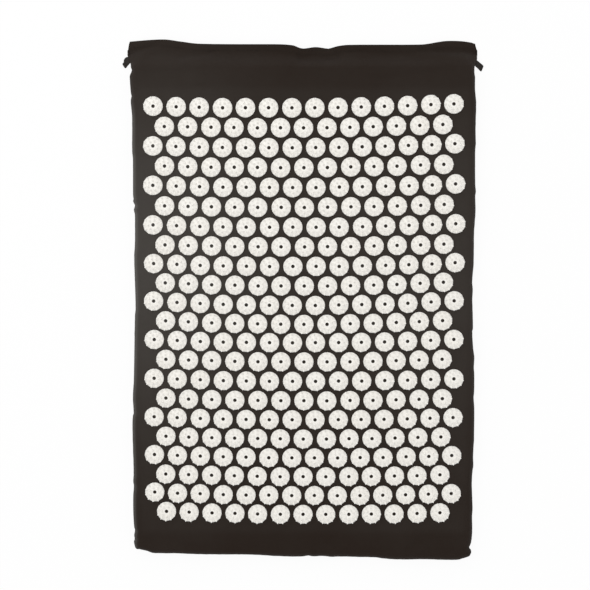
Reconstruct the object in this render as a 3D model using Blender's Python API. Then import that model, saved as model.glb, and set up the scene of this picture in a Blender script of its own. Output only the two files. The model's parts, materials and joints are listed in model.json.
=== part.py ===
"""Acupressure mat: a foam pad in a sewn cloth cover that opens at its head end, with rows of spiked
plastic rosettes on the front cloth.

Metres, +Z up. The origin is under the middle of the mat, on the floor, and the cover opens towards +Y.
"""

import math

import bmesh
import bpy

# Driving dimensions
mat_length = 0.660
mat_width = 0.430
foam_thickness = 0.018
cloth_thickness = 0.0008
clearance = 0.0003

# The cover's edges: rolled round the foam, drawn in halfway along, and a little askew at the foot
edge_roll = 0.009
waist_draw = 0.0045
waist_reach = 0.115
foot_slant = 0.009
corner_ease = 0.004

# The empty end of the cover, past the foam
flap_length = 0.031
flap_spread = 0.004
hem_depth = 0.010
hem_thickness = 0.001
lobe_rise = 0.0053

# The rosettes and their rows
rosette_diameter = 0.0250
rosette_height = 0.0045
column_pitch = 0.029
row_pitch = 0.02444
head_margin = 0.0498
foot_margin = 0.0555
side_margin = 0.0255
row_bow = 0.0035
waist_bow = 0.0022
waist_bow_reach = 0.045
row_fan = 0.0012
row_gather = 0.0018

# Heights of the layers, from the floor up
foam_base = cloth_thickness + clearance
foam_top = foam_base + foam_thickness
panel_top = foam_top + clearance + cloth_thickness
seam_height = panel_top / 2
front_edge = seam_height + clearance / 2
back_edge = seam_height - clearance / 2

# Places along the mat
head_end = mat_length / 2
foot_end = -mat_length / 2
mouth_line = head_end - lobe_rise
hinge_line = mouth_line - flap_length
hem_line = mouth_line - hem_depth
foot_middle = foot_end + foot_slant / 2
corner_radius = edge_roll + corner_ease
foot_reach = mat_width / 2 - corner_radius

roll_steps = 5
side_steps = 9
corner_steps = 4


def smooth(share):
    """Rises from 0 to 1 with level ends."""
    held = min(max(share, 0.0), 1.0)
    return held * held * (3 - 2 * held)


def flap_share(y):
    """How far the empty end has gone from the foam's thickness to flat, at this place along the mat."""
    return smooth((y - hinge_line) / (hem_line - hinge_line))


def half_width(y):
    """From the mat's middle line to its side seam."""
    drawn = waist_draw * math.exp(-((y / waist_reach) ** 2))
    return mat_width / 2 - drawn + flap_spread * flap_share(y)


def foot_at(x):
    """The foot edge, whose right end reaches furthest."""
    return foot_middle - foot_slant / 2 * x / foot_reach


def spread(low, high, steps):
    return [low + (high - low) * step / steps for step in range(steps + 1)]


def side_places(head):
    """Places along a side seam, from the head down to where the foot corner starts."""
    corner = foot_end + foot_slant + corner_radius
    empty = [y for y in spread(hem_line, hinge_line, roll_steps) if y < head]
    start = [head] + empty if head > hinge_line else [head]
    return start + spread(hinge_line, corner, side_steps)[1:]


def corner_points(side, inset):
    """One foot corner as an arc, from the side seam to the foot seam, without its ends."""
    centre_y = foot_at(side * foot_reach) + corner_radius
    reach = corner_radius - inset
    points = []
    for step in range(1, corner_steps):
        turn = math.radians(90) * step / corner_steps
        points.append((side * (foot_reach + reach * math.cos(turn)), centre_y - reach * math.sin(turn)))
    return points


def foot_points(inset):
    return [(x, foot_at(x) + inset) for x in spread(-foot_reach, foot_reach, corner_steps)]


def cover_outline(head, inset):
    """The cover's edge seen from above, from the head down the left side, round the foot and back up."""
    places = side_places(head)
    left = [(inset - half_width(y), y) for y in places]
    right = [(half_width(y) - inset, y) for y in reversed(places)]
    foot = corner_points(-1, inset) + foot_points(inset) + corner_points(1, inset)[::-1]
    return left + foot + right


def material(name, colour, roughness):
    made = bpy.data.materials.new(name)
    made.use_nodes = True
    shader = made.node_tree.nodes["Principled BSDF"]
    shader.inputs["Base Color"].default_value = (*colour, 1)
    shader.inputs["Roughness"].default_value = roughness
    shader.inputs["Metallic"].default_value = 0
    made.diffuse_color = (*colour, 1)
    return made


def add_object(name, mesh_data, colour, roughness, location=(0, 0, 0)):
    bmesh.ops.recalc_face_normals(mesh_data, faces=mesh_data.faces)
    mesh = bpy.data.meshes.new(name)
    mesh_data.to_mesh(mesh)
    mesh_data.free()
    mesh.shade_smooth()
    mesh.set_sharp_from_angle(angle=math.radians(35))
    made = bpy.data.objects.new(name, mesh)
    made.data.materials.append(material(name, colour, roughness))
    made.location = location
    bpy.context.scene.collection.objects.link(made)
    return made


def hang_on(name, place, pieces):
    """Parents the pieces, where they are, to an empty on the axis that they turn about."""
    axis = bpy.data.objects.new(name, None)
    axis.location = place
    bpy.context.scene.collection.objects.link(axis)
    for piece in pieces:
        piece.parent = axis
        piece.location -= axis.location


def skin(mesh_data, grid):
    """Quads over a grid of vertices."""
    for row, following in zip(grid, grid[1:]):
        for a, b, c, d in zip(row, row[1:], following[1:], following):
            mesh_data.faces.new((a, b, c, d))


def add_grid(mesh_data, rows):
    return [[mesh_data.verts.new(point) for point in row] for row in rows]


def sheet_solid(upper_rows, lower_rows):
    """A closed sheet between an upper and a lower grid of points of the same size."""
    made = bmesh.new()
    upper = add_grid(made, upper_rows)
    lower = add_grid(made, lower_rows)
    skin(made, upper)
    skin(made, lower)
    skin(made, [upper[0], lower[0]])
    skin(made, [upper[-1], lower[-1]])
    skin(made, [[row[0] for row in upper], [row[0] for row in lower]])
    skin(made, [[row[-1] for row in upper], [row[-1] for row in lower]])
    return made


# Cover panels: each is a flat cloth whose edge rolls round the foam to the seam at half height
cloth_colour = (0.030, 0.024, 0.020)


def panel_solid(head, outer_height, inner_height):
    """A panel's outer and inner faces as rings that run from the seam to the flat of the cloth."""
    made = bmesh.new()
    rings = []
    for start, height in ((0.0, outer_height), (cloth_thickness, inner_height)):
        layer = []
        for step in range(roll_steps + 1):
            turn = math.radians(90) * step / roll_steps
            inset = start + (edge_roll - start) * (1 - math.cos(turn))
            points = cover_outline(head, inset)
            layer.append([made.verts.new((x, y, height(y, math.sin(turn)))) for x, y in points])
        rings.append(layer)
        skin(made, layer)
        made.faces.new(layer[-1])
    outer, inner = rings
    skin(made, [outer[0], inner[0]])
    for end in (0, -1):
        skin(made, [[ring[end] for ring in outer], [ring[end] for ring in inner]])
    made.faces.new((outer[-1][0], outer[-1][-1], inner[-1][-1], inner[-1][0]))
    return made


def front_outer(y, rise):
    return front_edge + (panel_top - front_edge) * rise


def front_inner(y, rise):
    return front_edge + (panel_top - cloth_thickness - front_edge) * rise


def back_outer(y, rise):
    return back_edge * (1 - rise) * (1 - flap_share(y))


def back_inner(y, rise):
    return cloth_thickness + (back_edge - cloth_thickness) * (1 - rise) * (1 - flap_share(y))


def add_panels():
    front = panel_solid(hinge_line - clearance, front_outer, front_inner)
    add_object("front_panel", front, cloth_colour, 0.9)
    back = panel_solid(hem_line - clearance, back_outer, back_inner)
    add_object("back_panel", back, cloth_colour, 0.9)


# Seam allowances: both cloth edges turned inside the cover and stitched together
seam_width = 0.004
seam_thickness = 2 * cloth_thickness
seam_inset = cloth_thickness + 2 * clearance


def seam_solid(outer_path, inner_path):
    low = seam_height - seam_thickness / 2
    high = seam_height + seam_thickness / 2
    upper = [[(x, y, high) for x, y in path] for path in (outer_path, inner_path)]
    lower = [[(x, y, low) for x, y in path] for path in (outer_path, inner_path)]
    return sheet_solid(upper, lower)


def add_seams():
    places = side_places(hinge_line - clearance)
    places[-1] += clearance
    insets = (seam_inset, seam_inset + seam_width)
    for name, side in (("left_side_seam", -1), ("right_side_seam", 1)):
        paths = [[(side * (half_width(y) - inset), y) for y in places] for inset in insets]
        add_object(name, seam_solid(*paths), cloth_colour, 0.9)
    paths = []
    for inset in insets:
        turned = corner_points(-1, inset) + foot_points(inset) + corner_points(1, inset)[::-1]
        paths.append(turned)
    add_object("foot_seam", seam_solid(*paths), cloth_colour, 0.9)


# Foam pad: a straight cut block that clears the seam allowances all the way out
foam_edge_radius = 0.005
foam_half_width = mat_width / 2 - waist_draw - seam_inset - seam_width - clearance
foam_foot = foot_end + foot_slant + seam_inset + seam_width + clearance
foam_head = hinge_line - clearance
foam_colour = (0.72, 0.70, 0.64)


def add_foam():
    made = bmesh.new()
    bmesh.ops.create_cube(made, size=1)
    size = (2 * foam_half_width, foam_head - foam_foot, foam_thickness)
    bmesh.ops.scale(made, vec=size, verts=made.verts)
    bmesh.ops.bevel(made, geom=made.edges[:], offset=foam_edge_radius, segments=3, profile=0.5,
                    affect="EDGES")
    middle = (0, (foam_head + foam_foot) / 2, foam_base + foam_thickness / 2)
    add_object("foam_pad", made, foam_colour, 0.95, middle)


# Closure at the mouth: a loop patch under the front hem and a hook patch on the back hem
patch_width = 0.055
patch_depth = 0.015
patch_offset = 0.0195
hook_thickness = 0.0022
loop_thickness = 0.0022
hook_base = hem_thickness + clearance
loop_base = hook_base + hook_thickness + clearance
patch_dip = 0.0058
patch_ramp = 0.009
patch_head = mouth_line - patch_dip
patch_colour = (0.022, 0.020, 0.019)


def add_patch(name, base, thickness):
    made = bmesh.new()
    bmesh.ops.create_cube(made, size=1)
    bmesh.ops.scale(made, vec=(patch_width, patch_depth, thickness), verts=made.verts)
    middle = (patch_offset, patch_head - clearance - patch_depth / 2, base + thickness / 2)
    return add_object(name, made, patch_colour, 0.95, middle)


# Mouth flap: the front cloth past the foam, from the foam's thickness down to the low mouth
flap_top = loop_base + loop_thickness + clearance + hem_thickness
flap_edge_top = hem_thickness + clearance + hem_thickness
flap_ramp = 0.030
flap_steps = 5
flat_shares = (-0.87, -0.72, -0.45, -0.2)
lobe_middle = 0.030
lobe_reach = 0.034
corner_drop = 0.004


def mouth_columns():
    """Places across the flat of the flap, closer together where the closure draws the edge back."""
    reach = mat_width / 2 - flap_ramp
    left = [share * reach for share in flat_shares]
    right = [-x for x in reversed(left)]
    low = patch_offset - patch_width / 2
    high = patch_offset + patch_width / 2
    middle = [low, low + patch_ramp, high - patch_ramp, high]
    return [x for x in left if x < low] + middle + [x for x in right if x > high]


def flap_section(share, start):
    """One section across the flap, start below its upper face: 0 at the foam's end, 1 at the hem."""
    rows = []
    root_reach = mat_width / 2
    mouth_reach = root_reach + flap_spread
    for step in range(roll_steps + 1):
        turn = math.radians(90) * step / roll_steps
        root_inset = start + (edge_roll - start) * (1 - math.cos(turn))
        root_z = front_edge + (panel_top - start - front_edge) * math.sin(turn)
        mouth_inset = start + (flap_ramp - start) * step / roll_steps
        mouth_z = flap_edge_top + (flap_top - flap_edge_top) * smooth(step / roll_steps) - start
        x = (root_reach - root_inset) * (1 - share) + (mouth_reach - mouth_inset) * share
        rows.append((x, root_z * (1 - share) + mouth_z * share))
    flat_z = (panel_top - start) * (1 - share) + (flap_top - start) * share
    left = [(-x, z) for x, z in rows]
    return left + [(x, flat_z) for x in mouth_columns()] + rows[::-1]


def mouth_edge(x):
    """The mouth's edge: a lobe near each corner and a dip at the closure."""
    reach = mat_width / 2 + flap_spread
    from_corner = reach - abs(x)
    lobe = lobe_rise * smooth(1 - abs(from_corner - lobe_middle) / lobe_reach)
    dip = patch_dip * smooth((patch_width / 2 - abs(x - patch_offset)) / patch_ramp)
    corner = corner_drop * (1 - smooth(from_corner / corner_drop))
    return mouth_line + lobe - dip - corner


def add_flap():
    upper = []
    lower = []
    for y in spread(hinge_line, hem_line, flap_steps):
        share = flap_share(y)
        upper.append([(x, y, z) for x, z in flap_section(share, 0.0)])
        lower.append([(x, y, z) for x, z in flap_section(share, cloth_thickness)])
    return add_object("mouth_flap", sheet_solid(upper, lower), cloth_colour, 0.9)


def add_front_hem():
    section = flap_section(1.0, 0.0)
    near = [(x, hem_line + clearance, z) for x, z in section]
    far = [(x, mouth_edge(x), z) for x, z in section]
    upper = [near, far]
    lower = [[(x, y, z - hem_thickness) for x, y, z in row] for row in upper]
    return add_object("front_hem", sheet_solid(upper, lower), cloth_colour, 0.9)


# Hem thread: one line of stitches along the front hem
thread_thickness = 0.0005
thread_inset = 0.002
thread_colour = (0.018, 0.016, 0.015)


def add_hem_thread():
    section = flap_section(1.0, 0.0)[1:-1]
    near = hem_line + thread_inset
    upper = []
    for y in (near, near + thread_thickness):
        upper.append([(x, y, z + clearance + thread_thickness) for x, z in section])
    lower = [[(x, y, z - thread_thickness) for x, y, z in row] for row in upper]
    return add_object("front_hem_thread", sheet_solid(upper, lower), thread_colour, 0.8)


# Back hem: the turned edge of the back cloth, flat on the floor
back_hem_setback = 0.002


def add_back_hem():
    section = [x for x, z in flap_section(1.0, 0.0)]
    near = [(x, hem_line + clearance, hem_thickness) for x in section]
    far = [(x, mouth_edge(x) - back_hem_setback, hem_thickness) for x in section]
    upper = [near, far]
    lower = [[(x, y, 0) for x, y, z in row] for row in upper]
    add_object("back_hem", sheet_solid(upper, lower), cloth_colour, 0.9)


# Tape tabs: a cut end of tape sewn into each side seam, slanting out towards the foot
tab_width = 0.0076
tab_length = 0.0112
tab_thickness = 0.001
tab_slant = math.radians(41)
tab_from_hinge = 0.009
tab_steps = 4


def tab_root():
    """The hinge point of the right tab: just outside the cover's edge, at the seam's height there."""
    y = hinge_line + tab_from_hinge
    closed = flap_share(y)
    z = seam_height * (1 - closed) + (hem_thickness + clearance) * closed
    return half_width(y + tab_width / 2) + clearance + tab_thickness / 2, y, z


def add_tab(name, side):
    """The tape starts along the cover's edge and turns square to its own slant on the way to its end."""
    root_x, root_y, root_z = tab_root()
    half = tab_width / 2
    foot_side_x = half_width(root_y - half) - half_width(root_y + half)
    fall = root_z - clearance - tab_thickness / 2
    upper = []
    for step in range(tab_steps + 1):
        share = step / tab_steps
        out = tab_length * math.cos(tab_slant) * share
        back = tab_length * math.sin(tab_slant) * share
        lean_x = half * math.sin(tab_slant) * share
        lean_y = half * (1 - share) + half * math.cos(tab_slant) * share
        z = tab_thickness / 2 - fall * smooth(share)
        foot_side = (side * (out + lean_x + foot_side_x * (1 - share)), -back - lean_y, z)
        upper.append([foot_side, (side * (out - lean_x), lean_y - back, z)])
    lower = [[(x, y, z - tab_thickness) for x, y, z in row] for row in upper]
    add_object(name, sheet_solid(upper, lower), cloth_colour, 0.85, (side * root_x, root_y, root_z))


# Rosettes: each row is one body, joined by the thin line of glue that it is set in
tip_count = 8
tip_inset = 0.0035
hub_height = 0.0013
bead_width = 0.002
bead_height = 0.0006
rosette_colour = (0.87, 0.845, 0.79)

long_row = math.floor((mat_width - 2 * side_margin) / column_pitch) + 1
first_row = hinge_line - head_margin
row_count = math.floor((first_row - foot_middle - foot_margin) / row_pitch) + 1
field_half_length = row_pitch * (row_count - 1) / 2
field_half_width = column_pitch * (long_row - 1) / 2


def row_place(row):
    gathered = row_gather * math.sin(math.pi * row / (row_count - 1))
    return first_row - row_pitch * row - gathered


def rosette_places(row):
    """Centres of one row's rosettes: the row bows towards the head at its ends and fans a little."""
    count = long_row - row % 2
    middle = row_place(row)
    bow = row_bow + waist_bow * math.exp(-((middle / waist_bow_reach) ** 2))
    places = []
    for column in range(count):
        x = (column - (count - 1) / 2) * column_pitch
        share = x / field_half_width
        places.append((x, bow * share**2 + row_fan * share * middle / field_half_length))
    return places


def rim_turns():
    """Corners of a rosette's rim: a narrow facet to each side, for the bead, and a facet for each tip."""
    narrow = math.asin(bead_width / rosette_diameter)
    per_half = tip_count // 2
    upper_half = spread(narrow, math.pi - narrow, per_half)
    return upper_half + [turn + math.pi for turn in upper_half]


def add_rosette(made, centre_x, centre_y):
    """One rosette as a low crown of tips. Returns the bead corners on its right and its left."""
    reach = rosette_diameter / 2
    turns = rim_turns()
    rim = [made.verts.new((centre_x + reach * math.cos(turn), centre_y + reach * math.sin(turn), 0))
           for turn in turns]
    hub = made.verts.new((centre_x, centre_y, hub_height))
    made.faces.new(rim[::-1])
    beads = []
    for index, turn in enumerate(turns):
        following = (index + 1) % len(turns)
        gap = (turns[following] - turn) % math.tau
        middle = turn + gap / 2
        narrow = index % (tip_count // 2 + 1) == tip_count // 2
        tip_reach = reach * math.cos(gap / 2) if narrow else reach - tip_inset
        height = bead_height if narrow else rosette_height
        tip = made.verts.new(
            (centre_x + tip_reach * math.cos(middle), centre_y + tip_reach * math.sin(middle), height)
        )
        made.faces.new((hub, rim[index], tip))
        made.faces.new((hub, tip, rim[following]))
        if narrow:
            beads.append((rim[index], tip, rim[following]))
        else:
            made.faces.new((rim[index], rim[following], tip))
    left, right = beads
    return left, right


def add_row(row):
    made = bmesh.new()
    ends = [add_rosette(made, x, y) for x, y in rosette_places(row)]
    made.faces.new(ends[0][0])
    made.faces.new(ends[-1][1])
    for (_, right), (left, _) in zip(ends, ends[1:]):
        for index in range(3):
            following = (index + 1) % 3
            near = (right[index], right[following])
            far = (left[2 - following], left[2 - index])
            made.faces.new((*near, *far))
    name = f"rosette_row_{row + 1:02d}"
    add_object(name, made, rosette_colour, 0.4, (0, row_place(row), panel_top + clearance))


for old in list(bpy.data.objects):
    bpy.data.objects.remove(old)
add_panels()
add_seams()
add_foam()
add_patch("hook_patch", hook_base, hook_thickness)
loop_patch = add_patch("loop_patch", loop_base, loop_thickness)
mouth_pieces = [add_flap(), add_front_hem(), add_hem_thread(), loop_patch]
hang_on("mouth_hinge_axis", (0, hinge_line, panel_top), mouth_pieces)
add_back_hem()
add_tab("left_tape_tab", -1)
add_tab("right_tape_tab", 1)
for row_index in range(row_count):
    add_row(row_index)
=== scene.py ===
import json
import math
import random

import bpy
from mathutils import Matrix, Vector, noise


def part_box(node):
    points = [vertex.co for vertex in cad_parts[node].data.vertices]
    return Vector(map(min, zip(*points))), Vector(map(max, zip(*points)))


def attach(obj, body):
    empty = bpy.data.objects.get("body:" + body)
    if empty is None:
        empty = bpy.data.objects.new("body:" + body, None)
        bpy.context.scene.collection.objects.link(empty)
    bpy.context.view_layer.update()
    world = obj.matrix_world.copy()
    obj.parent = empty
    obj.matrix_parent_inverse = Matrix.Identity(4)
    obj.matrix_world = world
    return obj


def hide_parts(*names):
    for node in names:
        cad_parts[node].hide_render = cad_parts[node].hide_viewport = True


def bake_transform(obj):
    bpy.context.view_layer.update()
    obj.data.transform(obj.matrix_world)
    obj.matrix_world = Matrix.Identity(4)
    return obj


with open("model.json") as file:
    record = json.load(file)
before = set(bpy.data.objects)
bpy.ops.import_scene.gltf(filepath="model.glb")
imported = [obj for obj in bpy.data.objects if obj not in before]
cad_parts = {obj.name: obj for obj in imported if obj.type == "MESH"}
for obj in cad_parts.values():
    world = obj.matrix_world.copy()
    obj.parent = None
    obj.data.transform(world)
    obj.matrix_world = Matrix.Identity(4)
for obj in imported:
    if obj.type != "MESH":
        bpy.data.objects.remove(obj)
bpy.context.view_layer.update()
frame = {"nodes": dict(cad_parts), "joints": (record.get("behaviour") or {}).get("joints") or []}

# Camera: two metres over the mat's head half and aimed at its middle, nearly straight down, with a
# long lens, so the spikes near the foot lean out towards it.
camera_place = (-0.0107, 0.1753, 2.015)
camera_tilt = math.radians(-4.72)
camera_lens = 97.2
bpy.ops.object.camera_add(location=camera_place, rotation=(camera_tilt, 0, 0))
camera = bpy.context.active_object
camera.data.lens = camera_lens
bpy.context.scene.camera = camera
bpy.context.scene.view_settings.view_transform = "Standard"

# Studio: a pale floor that the camera sees as white paper with a faint contact shadow, a white
# surround, one broad soft lamp past the head's left corner and a weaker one past the foot.
floor_size = 12
floor_colour = (0.92, 0.92, 0.92, 1)
paper_share = 0.93
world_strength = 0.84
lamps = (
    ("head_lamp", (-0.9, 1.3, 1.7), 1.3, 12.6),
    ("foot_lamp", (0.7, -1.1, 2.0), 1.6, 1.6),
)


def new_material(name, roughness, specular):
    """A material with this gloss, as (material, its node tree, its shader)."""
    material = bpy.data.materials.new(name)
    material.use_nodes = True
    shader = material.node_tree.nodes["Principled BSDF"]
    shader.inputs["Roughness"].default_value = roughness
    shader.inputs["Specular IOR Level"].default_value = specular
    return material, material.node_tree, shader


def math_of(tree, operation, *values):
    """The result of a math node on these numbers and sockets."""
    node = tree.nodes.new("ShaderNodeMath")
    node.operation = operation
    for value, socket in zip(values, node.inputs):
        if isinstance(value, float):
            socket.default_value = value
        else:
            tree.links.new(value, socket)
    return node.outputs[0]


def light_seen(tree):
    """1 for what the camera, a gloss or a glass sees, 0 for light that falls on the object."""
    path = tree.nodes.new("ShaderNodeLightPath")
    either = math_of(tree, "MAXIMUM", path.outputs["Is Camera Ray"], path.outputs["Is Glossy Ray"])
    return math_of(tree, "MAXIMUM", either, path.outputs["Is Transmission Ray"])


def make_floor():
    bpy.ops.mesh.primitive_plane_add(size=floor_size, location=(0, 0, 0))
    floor = bpy.context.active_object
    floor.name = "studio_floor"
    paper, tree, shader = new_material("studio_paper", 0.9, 0.1)
    shader.inputs["Base Color"].default_value = floor_colour
    glow = tree.nodes.new("ShaderNodeEmission")
    mix = tree.nodes.new("ShaderNodeMixShader")
    tree.links.new(math_of(tree, "MULTIPLY", light_seen(tree), paper_share), mix.inputs["Fac"])
    tree.links.new(shader.outputs[0], mix.inputs[1])
    tree.links.new(glow.outputs[0], mix.inputs[2])
    tree.links.new(mix.outputs[0], tree.nodes["Material Output"].inputs["Surface"])
    floor.data.materials.append(paper)


def make_world():
    world = bpy.data.worlds.new("studio_world")
    bpy.context.scene.world = world
    world.use_nodes = True
    tree = world.node_tree
    light = tree.nodes["Background"]
    light.inputs["Strength"].default_value = world_strength
    light.inputs["Color"].default_value = (1, 1, 1, 1)
    seen = tree.nodes.new("ShaderNodeBackground")
    seen.inputs["Color"].default_value = (1, 1, 1, 1)
    mix = tree.nodes.new("ShaderNodeMixShader")
    tree.links.new(light_seen(tree), mix.inputs["Fac"])
    tree.links.new(light.outputs[0], mix.inputs[1])
    tree.links.new(seen.outputs[0], mix.inputs[2])
    tree.links.new(mix.outputs[0], tree.nodes["World Output"].inputs["Surface"])


def make_lamps():
    for name, place, size, power in lamps:
        aim = (-Vector(place)).to_track_quat("-Z", "Y").to_euler()
        bpy.ops.object.light_add(type="AREA", location=place, rotation=aim)
        lamp = bpy.context.active_object
        lamp.name = name
        lamp.data.size = size
        lamp.data.energy = power


bpy.ops.object.select_all(action="DESELECT")
make_floor()
make_world()
make_lamps()

# Front cloth: one cut of near-black woven cotton, drawn over the foam and rolled down its edges to
# the seam with the back cloth, where the stitching gathers it into small puckers.
cloth_thickness = 0.0008
clearance = 0.0003
edge_roll = 0.009
seam_lip = 0.0012
lip_places = (2.25, 2.5)
corner_radius = 0.0035
hem_depth = 0.010
flat_columns = 120
flat_rows = 230
roll_columns = 7
smooth_angle = math.radians(50)
take_up_across = 1.03
take_up_along = 1.01
pucker_height = 0.0010
pucker_pitch = 0.0085
pucker_length = 0.02
pucker_reach = 0.012
fine_pucker_share = 0.5
fine_pucker_count = 2.3
fine_pucker_length = 0.01
fine_pucker_seed = 5
foot_band = 0.03
edge_waver = 0.3
# Painted light in the cloth's colour: lighter on the left and half-way along, where the light falls,
# lighter among the rosettes against the shade they cast, and a painted highlight along the left rolled
# edge.
painted_light_middle = 0.07
painted_light_reach_head = 0.195
painted_light_reach_foot = 0.235
painted_light_left = 0.90
painted_light_right = 0.40
painted_light_centre = 0.32
field_painted_light = 0.10
rim_painted_highlight = 0.9
rim_painted_highlight_inset = 0.0023
rim_painted_highlight_width = 0.0021
rim_painted_highlight_end = 0.275
rim_painted_highlight_run = 0.05
rim_height = 0.0006
rim_inset = 0.0052
rim_width = 0.0016
slack_height = 0.0007
slack_pitch = 0.055
slack_seed = 9
front_seed = 2.0

panel_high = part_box("front_panel")[1]
foam_low, foam_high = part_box("foam_pad")
mat_half_width = panel_high.x
panel_top = panel_high.z
seam_height = panel_top / 2
hinge_line = foam_high.y + clearance
foot_middle = -0.3256
foot_reach = mat_half_width - edge_roll
field_half_width = 0.201
field_head = 0.262
field_foot = -0.286
field_margin = 0.012

# Where the sewn edge wanders on each side, as (place along the mat, distance from its middle line),
# and at the foot and the mouth, as (place across, place along); tight stitches draw it in.
left_edge = (
    (-0.3260, 0.2153), (-0.3131, 0.2156), (-0.3066, 0.2168), (-0.3027, 0.2156), (-0.2988, 0.2164),
    (-0.2910, 0.2152), (-0.2884, 0.2161), (-0.2729, 0.2171), (-0.2483, 0.2172), (-0.2340, 0.2162),
    (-0.2289, 0.2170), (-0.2172, 0.2163), (-0.1593, 0.2174), (-0.1439, 0.2167), (-0.1413, 0.2157),
    (-0.1195, 0.2165), (-0.0991, 0.2152), (-0.0162, 0.2130), (-0.0074, 0.2121), (0.0597, 0.2134),
    (0.0725, 0.2124), (0.1113, 0.2121), (0.1176, 0.2134), (0.1226, 0.2118), (0.1277, 0.2143),
    (0.1302, 0.2135), (0.1352, 0.2142), (0.1815, 0.2140), (0.1903, 0.2148), (0.2339, 0.2146),
    (0.2538, 0.2161), (0.2600, 0.2149), (0.2625, 0.2158), (0.2798, 0.2170), (0.2848, 0.2169),
    (0.2910, 0.2143), (0.2950, 0.2156), (0.2985, 0.2157), (0.3030, 0.2178), (0.3060, 0.2193),
    (0.3132, 0.2199), (0.3230, 0.2187), (0.3290, 0.2168),
)
right_edge = (
    (-0.3260, 0.2153), (-0.3209, 0.2151), (-0.3170, 0.2142), (-0.3144, 0.2120), (-0.3079, 0.2144),
    (-0.2936, 0.2158), (-0.2722, 0.2155), (-0.2638, 0.2160), (-0.2327, 0.2148), (-0.2146, 0.2154),
    (-0.2095, 0.2164), (-0.1934, 0.2161), (-0.1747, 0.2170), (-0.1349, 0.2171), (-0.1208, 0.2161),
    (-0.1131, 0.2167), (-0.0876, 0.2165), (-0.0837, 0.2159), (-0.0684, 0.2164), (-0.0595, 0.2151),
    (-0.0353, 0.2135), (-0.0328, 0.2145), (0.0041, 0.2133), (0.0167, 0.2138), (0.0269, 0.2129),
    (0.0496, 0.2145), (0.0912, 0.2148), (0.1151, 0.2163), (0.1365, 0.2158), (0.1390, 0.2166),
    (0.1490, 0.2157), (0.1903, 0.2152), (0.2002, 0.2158), (0.2189, 0.2154), (0.2513, 0.2158),
    (0.2674, 0.2143), (0.2835, 0.2141), (0.2873, 0.2133), (0.2975, 0.2137), (0.3025, 0.2163),
    (0.3120, 0.2172), (0.3180, 0.2165), (0.3230, 0.2150), (0.3290, 0.2143),
)
foot_edge = (
    (-0.2170, -0.3148), (-0.2123, -0.3163), (-0.2097, -0.3162), (-0.2046, -0.3174), (-0.1995, -0.3186),
    (-0.1918, -0.3212), (-0.1624, -0.3217), (-0.1329, -0.3228),
    (-0.0971, -0.3232), (-0.0664, -0.3234), (-0.0395, -0.3249), (-0.0190, -0.3258), (0.0002, -0.3256),
    (0.0066, -0.3245), (0.0117, -0.3256), (0.0258, -0.3251), (0.0373, -0.3263), (0.0430, -0.3258),
    (0.0732, -0.3265), (0.0950, -0.3271), (0.1000, -0.3281), (0.1193, -0.3296), (0.1538, -0.3294),
    (0.1961, -0.3301), (0.2050, -0.3277), (0.2089, -0.3265), (0.2114, -0.3255),
    (0.2127, -0.3246), (0.2145, -0.3224), (0.2170, -0.3195),
)
mouth_edge_line = (
    (-0.2200, 0.3262), (-0.2153, 0.3272), (-0.1890, 0.3291), (-0.1703, 0.3295), (-0.1540, 0.3274),
    (-0.1265, 0.3243), (-0.0288, 0.3236), (-0.0138, 0.3225), (-0.0101, 0.3215), (-0.0063, 0.3197),
    (-0.0001, 0.3184), (0.0150, 0.3202), (0.0300, 0.3183), (0.0325, 0.3186), (0.0425, 0.3214),
    (0.0563, 0.3229), (0.1464, 0.3233), (0.1576, 0.3245), (0.1689, 0.3265), (0.1789, 0.3277),
    (0.1952, 0.3277), (0.2077, 0.3265), (0.2127, 0.3253), (0.2160, 0.3235), (0.2200, 0.3180),
)

# Creases by the corners and the closure and slack along the foam's end, as (start, end, width, depth)
creases = (
    ((0.1456, 0.3166), (0.2143, 0.3128), 0.0030, 0.0016),
    ((-0.2170, 0.3128), (-0.1857, 0.3229), 0.0032, 0.0014),
    ((-0.1507, 0.3078), (-0.1145, 0.3128), 0.0030, 0.0010),
    ((-0.1545, 0.2637), (-0.1232, 0.2712), 0.0032, 0.0010),
    ((-0.1920, 0.2637), (-0.1732, 0.2675), 0.0030, 0.0009),
    ((0.0468, 0.3040), (0.0468, 0.3179), 0.0020, 0.0007),
    ((0.0510, 0.3141), (0.0768, 0.3141), 0.0022, 0.0009),
    ((0.1306, -0.3159), (0.1543, -0.2945), 0.0035, 0.0011),
    ((-0.1800, 0.2860), (-0.0900, 0.2950), 0.0060, 0.0009),
    ((0.1000, 0.2800), (0.1900, 0.2930), 0.0060, 0.0009),
)
crease_end_share = 2
crease_roll_share = 0.8
crease_roll_place = 2
crease_roll_width = 1.5


def smooth(share):
    """Rises from 0 to 1 with level ends."""
    held = min(max(share, 0.0), 1.0)
    return held * held * (3 - 2 * held)


def along_line(line, place):
    """The line's value at this place, on a smooth curve through its points."""
    last = len(line) - 1
    after = next((index for index, point in enumerate(line) if point[0] >= place), last)
    after = max(1, after)
    (x0, y0), (x1, y1) = line[after - 1], line[after]
    (before_x, before_y), (past_x, past_y) = line[max(0, after - 2)], line[min(last, after + 1)]
    share = min(max((place - x0) / (x1 - x0), 0.0), 1.0)
    leave = (y1 - before_y) / (x1 - before_x) * (x1 - x0)
    arrive = (past_y - y0) / (past_x - x0) * (x1 - x0)
    turn = smooth(share)
    eased = share * (1 - share)
    return y0 + (y1 - y0) * turn + eased * (leave * (1 - share) - arrive * share)


def half_width(side, y):
    return along_line(left_edge if side < 0 else right_edge, y)


def foot_at(x):
    return along_line(foot_edge, x)


def edge_profile(across):
    """Inset from the seam and share of the height, for |across| from 1, the flat's end, to past 2."""
    beyond = max(abs(across) - 1, 0.0)
    if beyond > 1:
        return seam_lip * (beyond - 1) / (lip_places[-1] - 2), 0.0
    turn = math.radians(90) * (1 - beyond)
    return edge_roll * (1 - math.cos(turn)), math.sin(turn)


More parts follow.
